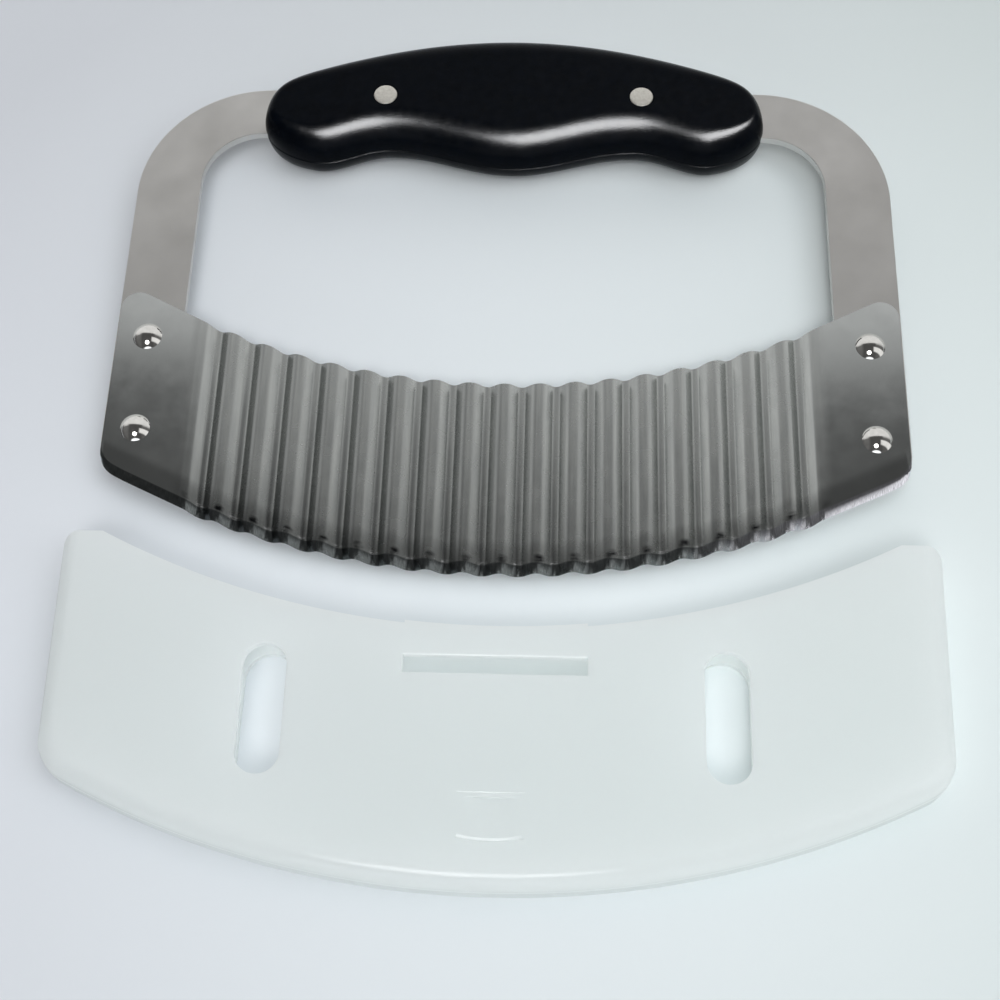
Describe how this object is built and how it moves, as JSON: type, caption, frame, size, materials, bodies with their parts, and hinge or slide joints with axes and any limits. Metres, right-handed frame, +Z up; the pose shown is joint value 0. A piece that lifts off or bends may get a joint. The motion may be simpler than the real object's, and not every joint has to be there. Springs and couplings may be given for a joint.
{
  "type": "crinkle cutter",
  "caption": "Crinkle cutter: an arched corrugated blade riveted to a flat steel bow with a two-scale grip, lying beside the milky slide-on guard that covers its edge.",
  "frame": {"origin": "middle of the whole footprint, on the table that the cutter and its guard lie on", "axes": "+X to the right along the blade, +Y from the cutting edge to the handle, +Z up off the table"},
  "size_m": [0.1846, 0.2066, 0.0169],
  "materials": {
    "bow_steel": "satin",
    "blade_steel": "bright, ground bevel",
    "handle_black": "fine grain, semi-matt",
    "pin_metal": "ground flush",
    "rivet_steel": "polished",
    "guard_milky": "translucent, satin gloss"
  },
  "bodies": {
    "cutter": {"frame_bow": "bow_steel", "wavy_blade": "blade_steel", "handle_scale_front": "handle_black", "handle_scale_rear": "handle_black", "handle_pin_left": "pin_metal", "handle_pin_right": "pin_metal", "blade_rivet_upper_left": "rivet_steel", "blade_rivet_lower_left": "rivet_steel", "blade_rivet_upper_right": "rivet_steel", "blade_rivet_lower_right": "rivet_steel"},
    "guard": {"blade_guard": "guard_milky"}
  },
  "joints": [
    {"name": "guard_slide", "type": "slide", "parent": "cutter", "child": "guard", "axis": [0, 1, 0], "range_m": [0, 0.0631]}
  ]
}
